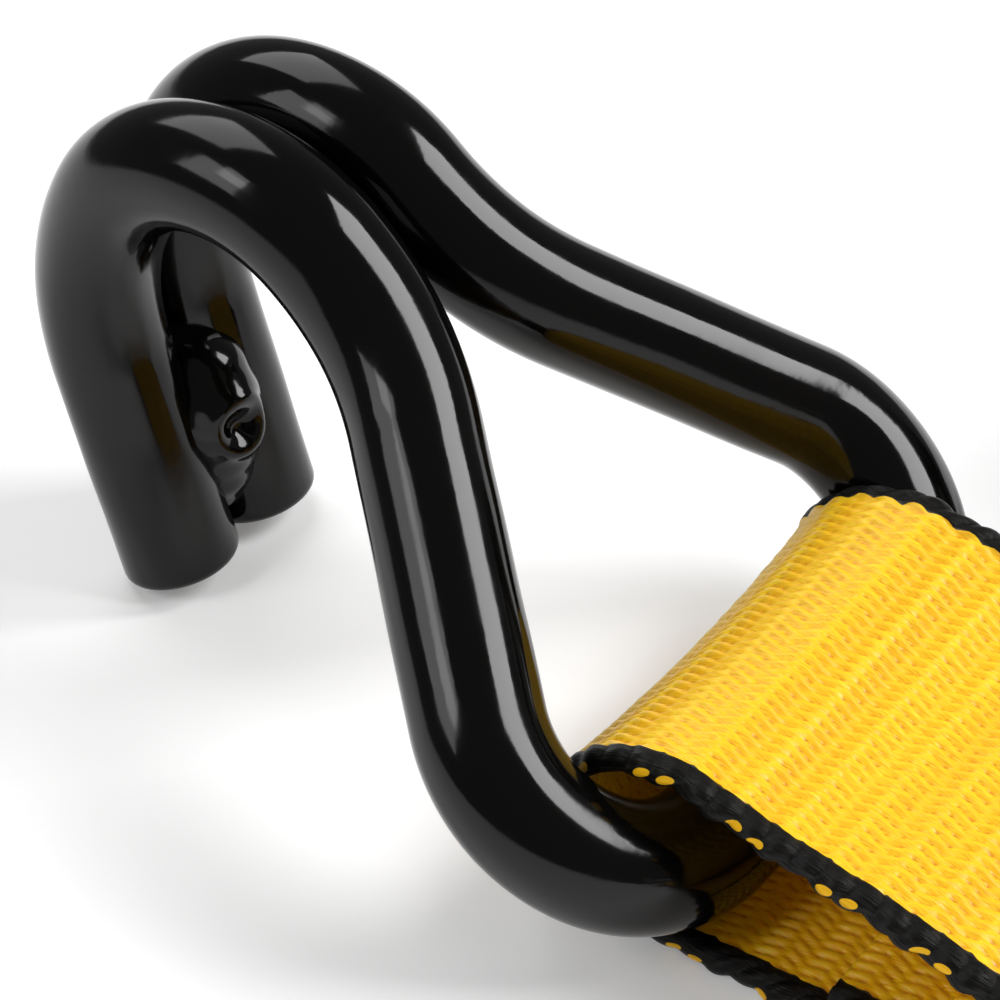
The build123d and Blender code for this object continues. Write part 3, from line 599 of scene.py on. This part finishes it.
def web_mesh(name, pts, hd, ss, yc, fine, fine_range=None, shape=None, end_caps=True, phase=0.0):
    """A closed webbing ribbon along a centre line, with floats and rope-like selvedges where it is fine."""
    y, zf, ang = cross_section(fine)
    nu, nv = len(pts), len(y)
    S = np.repeat(ss[:, None], nv, 1)
    Y = np.repeat(y[None, :], nu, 0)
    Z = np.repeat(zf[None, :], nu, 0)
    A = np.repeat(ang[None, :], nu, 0)
    hw = WEB / 2
    edge = np.clip((np.abs(Y) - (hw - SELV - 0.5)) / 0.6, 0, 1)
    w = np.ones(nu)
    if fine_range is not None:
        w = np.zeros(nu)
        for a, b in fine_range:
            w = np.maximum(w, np.clip((ss - a) / 6.0, 0, 1) * np.clip((b - ss) / 6.0, 0, 1))
    Wt = np.repeat(w[:, None], nv, 1)
    half = T / 2 - 0.16
    hgt = half * Z
    face = np.sign(Z)
    flat = np.abs(np.abs(Z) - 1) < 1e-6
    if fine:
        fl = floats(S + 0.5 * (face < 0) * ROW_P + phase, Y, face)
        band = (0.085 + 0.035 * np.sin(S / 17.0 + Y / 31.0)) * np.sin(np.pi * S / ROW_P) + 0.05 * np.sin(2 * np.pi * S / 12.6 + 0.04 * Y + 1.0)
        hgt = hgt + face * flat * (1 - edge) * (Wt * (0.60 * fl - 0.34) + (1 - Wt) * 0.08 + Wt * band)
    # selvedge: twisted strands bulging beyond the faces
    sgn = np.sign(Y)
    tw = np.abs(np.sin(np.pi * (S / 3.1 + A / (2 * np.pi) * 1.8 + np.abs(Y) * 0.20)))
    slow = np.sin(2 * np.pi * (S / 7.2) + sgn * 1.3)
    bulge = 0.14 + 0.36 * tw * (Wt if fine else 0.3) + 0.08 * slow
    hgt = hgt + np.sin(A) * edge * bulge
    Yo = Y + np.cos(A) * (edge > 0.5) * (0.10 + 0.46 * tw * (Wt if fine else 0.3) + 0.14 * slow) * np.where(flat, 0, 1)
    Yo = Yo + edge * sgn * 0.12 * slow
    if shape is not None:
        # the inner face lies smooth round the bar, clear of the wire at every angle of the hook
        kin = np.clip((S - (EYE_S + 4)) / 8.0, 0, 1) * np.clip((EYE_S + EYE_ARC + 14 - S) / 8.0, 0, 1)
        hgt = np.where(Z > 0, hgt + kin * (half * Z - hgt), hgt)
        Yo = Yo + 0.75 * kin * (Y - Yo)
    nx, nz = -np.sin(hd), np.cos(hd)
    off = np.zeros((nu, nv))
    if shape is not None:
        off = shape(ss[:, None], Y)
    H = hgt + off
    X3 = pts[:, 0][:, None] + nx[:, None] * H
    Z3 = pts[:, 1][:, None] + nz[:, None] * H
    V = np.stack([X3, yc + Yo, Z3], -1).reshape(-1, 3)
    faces = grid_faces(nu, nv)
    # material by face: yellow, and the black selvedges
    vn = np.roll(Y, -1, 1)
    vc = 0.5 * (Y + vn)[:-1]
    sel = np.abs(vc) > hw - SELV
    idx = np.where(sel, 1, 0)
    UV = np.stack([S, Y + 60.0 * (Z < 0)], -1).reshape(-1, 2)
    # mask for the painted shade in the gaps between the floats: the float height where the weave is fine, 1 elsewhere
    gap_shade_mask = np.ones_like(S)
    if fine:
        gap_shade_mask = np.where(flat, fl * Wt * (1 - edge) + (1 - Wt * (1 - edge)), 1.0)
    DET = np.stack([gap_shade_mask, Z], -1).reshape(-1, 2)
    fl_ = [tuple(f) for f in faces]
    ix = list(idx.reshape(-1))
    if end_caps:
        j = nv // 2
        # cut ends: the cross-section closed by strips between the two faces
        n_top = np.count_nonzero(np.isclose(zf[:nv // 2], 1.0))
        top_n = n_top
        e = (nv - 2 * top_n) // 2
        for base, flipf in ((0, False), ((nu - 1) * nv, True)):
            for k in range(top_n - 1):
                a_, b_ = base + k, base + k + 1
                c_, d_ = base + top_n + e + (top_n - 2 - k), base + top_n + e + (top_n - 1 - k)
                q = (a_, b_, c_, d_)
                fl_.append(q if not flipf else q[::-1])
                ix.append(1 if abs(y[k]) > hw - SELV else 0)
            ring1 = [base + top_n - 1] + [base + top_n + k for k in range(e)] + [base + top_n + e]
            ring2 = [base + 2 * top_n + e - 1] + [base + 2 * top_n + e + k for k in range(e)] + [base]
            for ring in (ring1, ring2):
                q = tuple(ring)
                fl_.append(q if not flipf else q[::-1])
                ix.append(1)
    ob = make_mesh(name, V, fl_, [M_YEL_FINE if fine else M_YEL, M_BLK, M_YEL], ix, UV, detail=DET)
    if fine and fine_range is not None:
        # the plain yellow weave shader takes over where the geometry is smooth
        ws = np.repeat(0.5 * (w[:-1] + w[1:])[:, None], nv, 1).reshape(-1)
        arr = np.array(ix, np.int32)
        m = (arr[:len(ws)] == 0) & (ws < 0.5)
        arr[:len(ws)][m] = 2
        ob.data.polygons.foreach_set("material_index", arr)
    flip_out(ob)
    return ob


def flat_length(ss):
    return float(ss[-1]) * MM


moves, EYE_S = eye_moves()
b20 = math.radians(20)
b_run = (BOLT_Z + BEYE_R * math.cos(b20) - (T / 2 + LAY) - 20 * (1 - math.cos(b20))) / math.sin(b20)
b_flat = BOLT_X - BEYE_R * math.sin(b20) - b_run * math.cos(b20) - 20 * math.sin(b20)
FINE = 0.36
EYE_ARC = EYE_R * math.radians(90 + EYE_SLOPE) + (BAR_Z - T / 2) * math.pi / 2
LO, HI = EYE_S - 62.0, EYE_S + EYE_ARC + 62.0


def short_step(s):
    if LO - 4 < s < HI + 4 or s < 34.0:
        return FINE
    return 1.3


pts, hd, ss = turtle(TAIL_X, T / 2 + LAY, 0, moves + [(BOLT_X - EYE_END,), (BEYE_R, 200), (b_run,), (20, -20), (b_flat - 138.0,)], short_step)


def eye_shape(s, y):
    """Pulls the middle of the webbing in towards the bar, with a slight ripple in the run before the eye."""
    hw = WEB / 2
    k = np.clip((s - (EYE_S - 26)) / 24.0, 0, 1) * np.clip((EYE_S + EYE_ARC - 8 - s) / 14.0, 0, 1)
    k = k * k * (3 - 2 * k)
    # left of travel is inside the eye, so a positive offset pulls in
    pull = 1.25 * (1 - (y / hw) ** 2) * k
    ripple = 0.35 * np.sin(2 * np.pi * s / 38.0 + 0.05 * y) * np.clip((s - (EYE_S - 60)) / 20.0, 0, 1) * np.clip((EYE_S + 4 - s) / 10.0, 0, 1)
    return pull + ripple + 0 * y


short = web_mesh("short_strap_webbing", pts, hd, ss, 0.0, True, [(-10, 30), (LO, HI)], eye_shape)
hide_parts("short_strap")
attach(short, "short_strap")

# ------------------------------------------------------------------ long strap
PITCH = 2.74
roll = []
r0 = ROLL_R - T / 2
turns = (r0 - CORE_R - T / 2 - 0.2) / PITCH


def long_step(s):
    return 1.6


p2, h2, s2 = turtle(LONG_X + TAIL_X, T / 2 + LAY, 0, moves[:1] and
                    [(FOLD_X - TAIL_X,)] + moves[1:] + [(ROLL_X - EYE_END,)], long_step)
n_sp = int(turns * 64)
ph = np.linspace(0, turns * 2 * math.pi, n_sp + 1)[1:]
wob = 0.10 * np.sin(ph * 3.0) + 0.08 * np.sin(ph * 7.3 + 1.0)
rr = r0 - PITCH * ph / (2 * math.pi) + wob * np.clip(ph / 6.0, 0, 1)
cx, cz = LONG_X + ROLL_X, ROLL_R
sx = cx + rr * np.sin(ph)
sz = cz - rr * np.cos(ph)
p3 = np.stack([sx, sz], -1)
P2 = np.vstack([p2, p3])
dd = np.gradient(P2, axis=0)
H2 = np.unwrap(np.arctan2(dd[:, 1], dd[:, 0]))
H2[:len(p2) - 1] = h2[:-1]
seg = np.linalg.norm(np.diff(P2, axis=0), axis=1)
S2 = np.concatenate([[0], np.cumsum(seg)])
long_ob = web_mesh("long_strap_webbing", P2, H2, S2, LONG_Y, False, None, eye_shape)
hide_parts("long_strap")
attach(long_ob, "long_strap")

# ------------------------------------------------------------------ hooks
for name, weld, bx, by, seed in (("hook_1", "hook_1_weld", 0.0, 0.0, 3), ("hook_2", "hook_2_weld", LONG_X, LONG_Y, 3)):
    wire = make_hook(name + "_wire", bx, by, seed)
    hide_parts(name)
    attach(wire, name)
    bead = make_weld(name + "_bead", bx, by, 11)
    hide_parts(weld)
    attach(bead, name)


# ------------------------------------------------------------------ seams
def stitches(name, runs, mat):
    """Small rounded threads lying on the webbing: runs of (start, end, height)."""
    V, F, U = [], [], []
    base = 0
    na, nb = 6, 8
    for (ax_, ay_), (bx_, by_), z in runs:
        a, b = np.array([ax_, ay_]), np.array([bx_, by_])
        L = np.linalg.norm(b - a)
        t = (b - a) / L
        n = np.array([-t[1], t[0]])
        k = max(1, int(L / 3.6))
        for i in range(k):
            c = a + t * (L * (i + 0.5) / k)
            ln, rad = 0.5 * L / k * 0.9, 0.42
            for j in range(nb):
                q = -1 + 2 * j / (nb - 1)
                r = rad * math.sqrt(max(0.02, 1 - abs(q) ** 3.0))
                for m in range(na):
                    an = 2 * math.pi * m / na
                    o = c + t * (q * ln) + n * (r * math.cos(an))
                    V.append((o[0], o[1], z + 0.12 + r * 0.8 * math.sin(an) - 0.28 * abs(q) ** 4))
                    U.append((q * ln, an))
            for j in range(nb - 1):
                for m in range(na):
                    F.append((base + j * na + m, base + j * na + (m + 1) % na, base + (j + 1) * na + (m + 1) % na, base + (j + 1) * na + m))
            F.append(tuple(base + m for m in range(na)))
            F.append(tuple(base + (nb - 1) * na + m for m in range(na - 1, -1, -1)))
            base += na * nb
    ob = make_mesh(name, V, F, [mat], None, U)
    flip_out(ob)
    return ob


def seam_runs(x0, x1, yc, z):
    runs = []
    for y in (-19.0, -9.5, 0.0, 9.5, 19.0):
        runs.append(((x0, yc + y), (x1, yc + y), z))
    for x in (x0, x1):
        runs.append(((x, yc - 19.0), (x, yc + 19.0), z))
    runs.append(((x0, yc - 19.0), (x1, yc + 19.0), z))
    runs.append(((x0, yc + 19.0), (x1, yc - 19.0), z))
    return runs


z3, z2 = T + 2 * LAY, T + LAY
seam1 = stitches("short_strap_seams", seam_runs(74.0, 128.0, 0.0, z3) + seam_runs(142.0, 180.0, 0.0, z2), M_THR)
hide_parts("short_strap_stitching")
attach(seam1, "short_strap")
seam2 = stitches("long_strap_seams", seam_runs(LONG_X + 74.0, LONG_X + 122.0, LONG_Y, z3), M_THR)
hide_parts("long_strap_stitching")
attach(seam2, "long_strap")

# ------------------------------------------------------------------ ribbed grip
GL = 35.0
prof = []
n_rib = 13
for k in range(n_rib * 12 + 1):
    y = -GL + 2 * GL * k / (n_rib * 12)
    e = min(1.0, (GL - abs(y)) / 2.5)
    r = GRIP_R - 0.9 + 0.85 * math.sqrt(abs(math.cos(math.pi * k / 12))) * 1.0
    r -= 2.0 * (1 - math.sqrt(max(0.0, 1 - (1 - e) ** 2)))
    prof.append((y, r))
ang = np.linspace(0, 2 * math.pi, 64, endpoint=False)
V = []
for y, r in [(-GL, 4.2)] + prof + [(GL, 4.2)]:
    for a in ang:
        V.append((SPX + GRIP_X + r * math.cos(a), y, SPZ + GRIP_Z + r * math.sin(a)))
nu = len(prof) + 2
F = [tuple(f) for f in grid_faces(nu, 64)]
# bore wall
for j in range(64):
    F.append((j, (nu - 1) * 64 + j, (nu - 1) * 64 + (j + 1) % 64, (j + 1) % 64))
grip = make_mesh("handle_grip_rubber", V, F, [M_RUBBER])
flip_out(grip)
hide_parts("handle_grip")
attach(grip, "handle")

# ------------------------------------------------------------------ metal pieces straight from the CAD
metal = {
    M_ZINC: ["frame_side_left", "frame_side_right", "frame_base_plate", "lock_pawl_bracket", "handle_side_left",
             "handle_side_right", "drive_pawl_bracket", "spool_half_upper", "spool_half_lower", "strap_bolt_sleeve", "spool_washers"],
    M_GEAR: ["ratchet_gear_left", "ratchet_gear_right", "lock_pawl", "drive_pawl"],
    M_FAST: ["strap_bolt", "strap_bolt_nut", "handle_rod", "grip_rod", "cotter_pins"],
    M_SPRING: ["lock_pawl_spring", "drive_pawl_spring"],
    M_HOOK: ["hook_1", "hook_2", "hook_1_weld", "hook_2_weld"],
    M_YEL: ["short_strap", "long_strap"],
    M_THR: ["short_strap_stitching", "long_strap_stitching"],
    M_RUBBER: ["handle_grip"],
}
for mat, names in metal.items():
    for n in names:
        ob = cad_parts[n]
        ob.data.materials.clear()
        ob.data.materials.append(mat)
        if mat in (M_ZINC, M_GEAR, M_FAST) :
            wd = ob.modifiers.new("weld", "WELD")
            wd.merge_threshold = 0.000002
            bv = ob.modifiers.new("edges", "BEVEL")
            bv.width = 0.00035
            bv.segments = 2
            bv.limit_method = "ANGLE"
            bv.angle_limit = math.radians(35)

# ------------------------------------------------------------------ floor, light and camera
bpy.ops.mesh.primitive_plane_add(size=30.0, location=(0, 0, -0.00001))
floor = bpy.context.object
floor.name = "floor"
mf, ntf, bf = new_mat("floor_pale")
bf.inputs["Base Color"].default_value = (0.93, 0.93, 0.93, 1)
bf.inputs["Roughness"].default_value = 0.9
bf.inputs["Specular IOR Level"].default_value = 0.1
bf.inputs["Emission Color"].default_value = (1, 1, 1, 1)
bf.inputs["Emission Strength"].default_value = 0.18
floor.data.materials.append(mf)

bpy.context.scene.view_settings.view_transform = "Standard"
world = bpy.data.worlds.new("studio")
bpy.context.scene.world = world
world.use_nodes = True
world.node_tree.nodes["Background"].inputs["Color"].default_value = (1, 1, 1, 1)
world.node_tree.nodes["Background"].inputs["Strength"].default_value = 0.15


def area(name, loc, target, size, size_y, power):
    d = bpy.data.lights.new(name, "AREA")
    d.shape = "RECTANGLE"
    d.size, d.size_y = size, size_y
    d.energy = power
    ob = bpy.data.objects.new(name, d)
    bpy.context.scene.collection.objects.link(ob)
    ob.location = loc
    ob.rotation_euler = (Vector(target) - Vector(loc)).to_track_quat("-Z", "Y").to_euler()
    return ob


hx, hy = OX * MM - 0.03, OY * MM
def softbox(name, az, el, dist, width, height, power):
    a, e = math.radians(az), math.radians(el)
    loc = (hx + dist * math.cos(e) * math.cos(a), hy + dist * math.cos(e) * math.sin(a), 0.035 + dist * math.sin(e))
    area(name, loc, (hx, hy, 0.035), width, height, power)


softbox("key", 37, 41, 1.3, 0.70, 0.62, 17.0)
softbox("side", -122, 37, 1.3, 0.58, 0.62, 3.6)
softbox("side_edge", -113, 47, 1.29, 0.26, 0.40, 1.3)
softbox("back", 150, 52, 1.3, 0.9, 0.9, 8.0)

cam_d = bpy.data.cameras.new("camera")
cam_d.lens = 120.26
cam_d.sensor_width = 36.0
cam_d.clip_start = 0.01
cam_d.dof.use_dof = False
cam = bpy.data.objects.new("camera", cam_d)
bpy.context.scene.collection.objects.link(cam)
fwd = Vector((-0.4712, 0.5998, -0.6466)).normalized()
up = Vector((-0.3536, 0.5432, 0.7615))
right = fwd.cross(up).normalized()
up = right.cross(fwd).normalized()
rot = Matrix((right, up, -fwd)).transposed()
loc = Vector(((OX + 9.392 * D) * MM, (OY - 15.464 * D) * MM, (BAR_Z + 17.774 * D) * MM))
cam.matrix_world = Matrix.Translation(loc) @ rot.to_4x4()
bpy.context.scene.camera = cam
